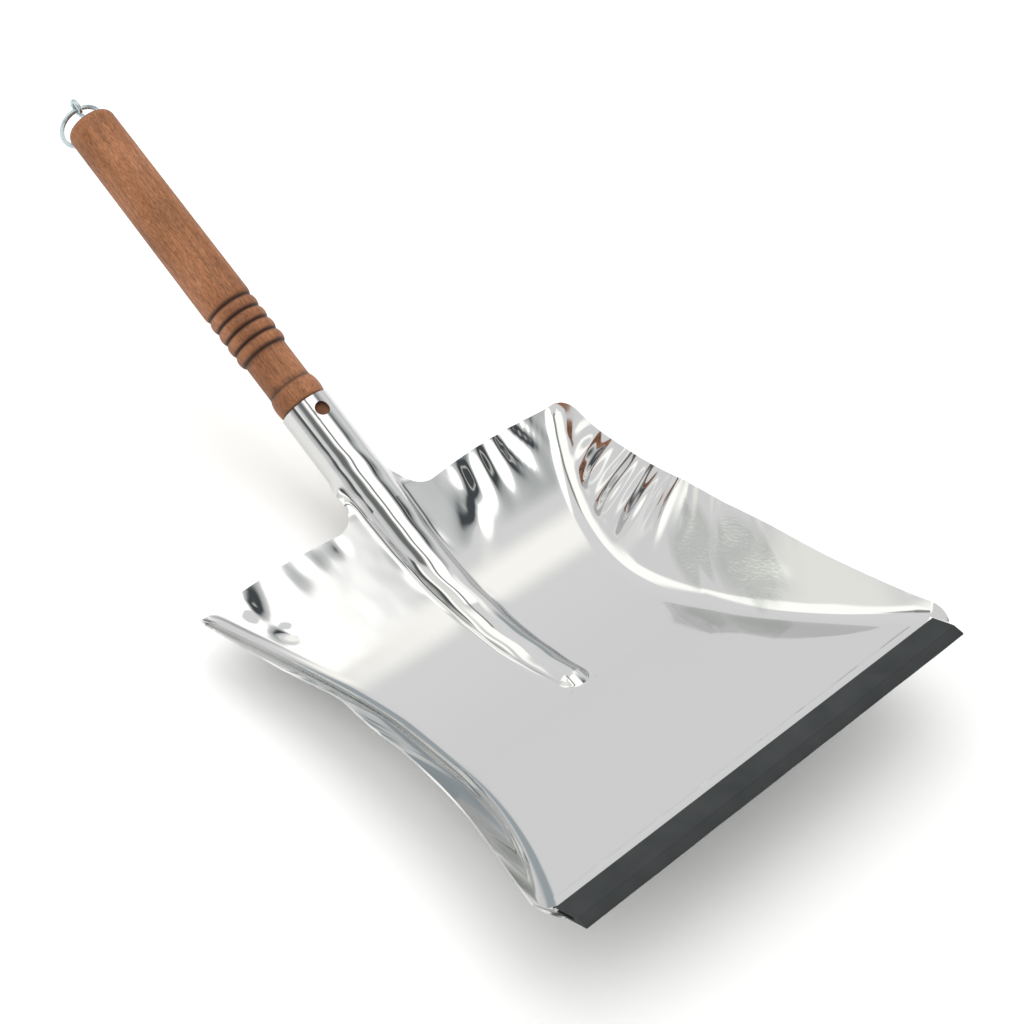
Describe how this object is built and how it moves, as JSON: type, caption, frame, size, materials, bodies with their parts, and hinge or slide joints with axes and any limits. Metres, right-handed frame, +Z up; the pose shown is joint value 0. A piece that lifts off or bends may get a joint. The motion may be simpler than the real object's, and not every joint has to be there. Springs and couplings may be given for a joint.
{
  "type": "dustpan",
  "caption": "Pressed steel dustpan with flared side walls, a rolled socket holding a turned wooden handle, a dark rubber lip along the front edge and a loose hanging ring.",
  "frame": {"origin": "middle of the footprint at the height of the table the pan stands on", "axes": "+Y from the rubber lip towards the far end of the handle, +X to the right seen from the handle's end, +Z up"},
  "size_m": [0.2564, 0.4962, 0.1407],
  "materials": {
    "steel": "mirror polished",
    "rubber": "matte",
    "beech": "satin stained",
    "zinc": "bright zinc plated"
  },
  "bodies": {
    "dustpan": {"pan": "steel", "rubber_lip": "rubber", "handle": "beech", "screw_eye": "zinc"},
    "ring": {"hanging_ring": "zinc"}
  },
  "joints": [
    {"name": "ring_swing", "type": "hinge", "parent": "dustpan", "child": "ring", "pos_m": [-0.00001, 0.24312, 0.1337], "axis": [0.9708, -0.1478, 0.1887], "range_deg": [-26, 250]}
  ]
}
